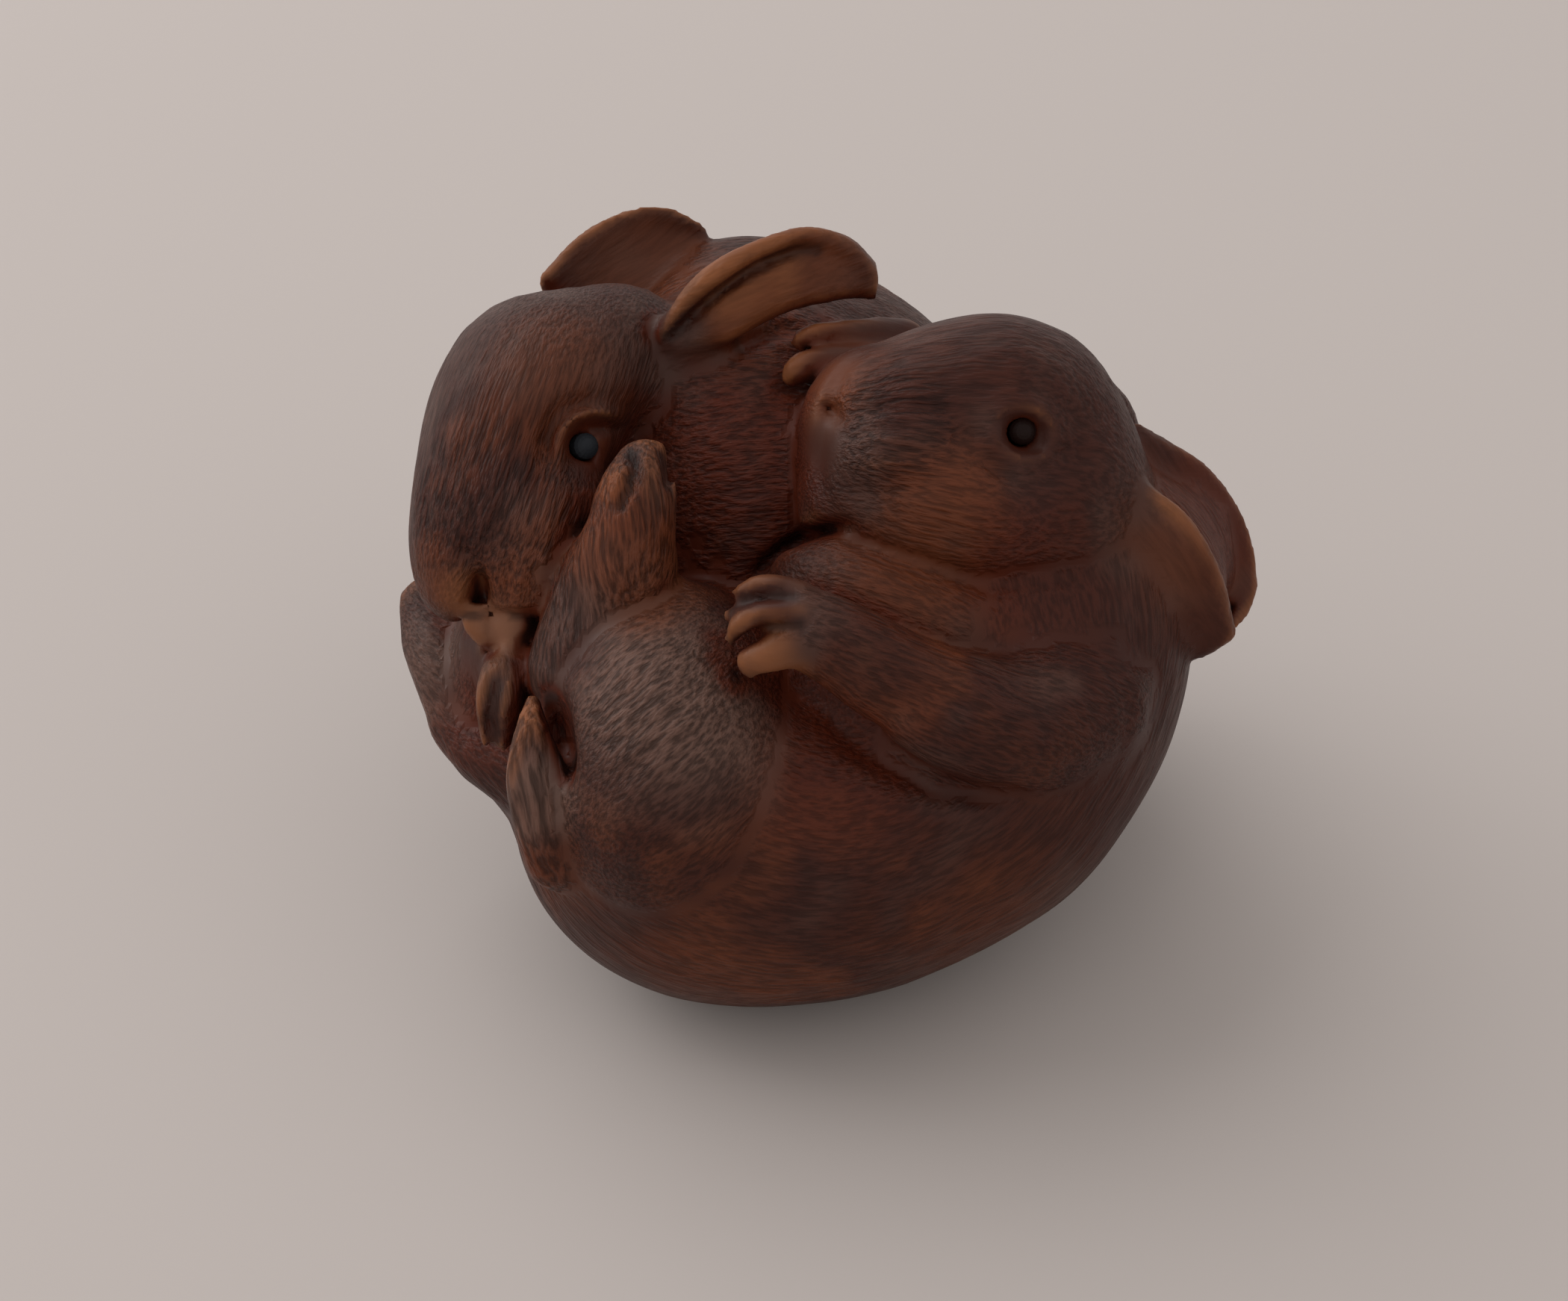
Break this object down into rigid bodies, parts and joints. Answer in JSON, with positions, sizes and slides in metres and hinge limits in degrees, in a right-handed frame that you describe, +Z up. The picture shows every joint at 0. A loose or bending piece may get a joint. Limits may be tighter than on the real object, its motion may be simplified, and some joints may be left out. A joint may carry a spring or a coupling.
{
  "type": "netsuke",
  "caption": "Small compact wood carving of two rabbits huddled head to tail, with inlaid eyes and a cord tunnel in the back; it stands on its flattened underside.",
  "frame": {"origin": "on the table, under the middle of the carving's bounding box", "axes": "+Z up; the carved front with both faces looks up and towards -Y; +X to the right as seen from the front"},
  "size_m": [0.041, 0.0372, 0.0336],
  "materials": {
    "stained_wood": "satin, stained dark red-brown, hand polished, worn lighter on raised edges",
    "dark_horn": "polished dark horn"
  },
  "bodies": {
    "root": {"carving": "stained_wood", "rear_rabbit_left_eye": "dark_horn", "rear_rabbit_right_eye": "dark_horn", "front_rabbit_left_eye": "dark_horn"}
  },
  "joints": []
}
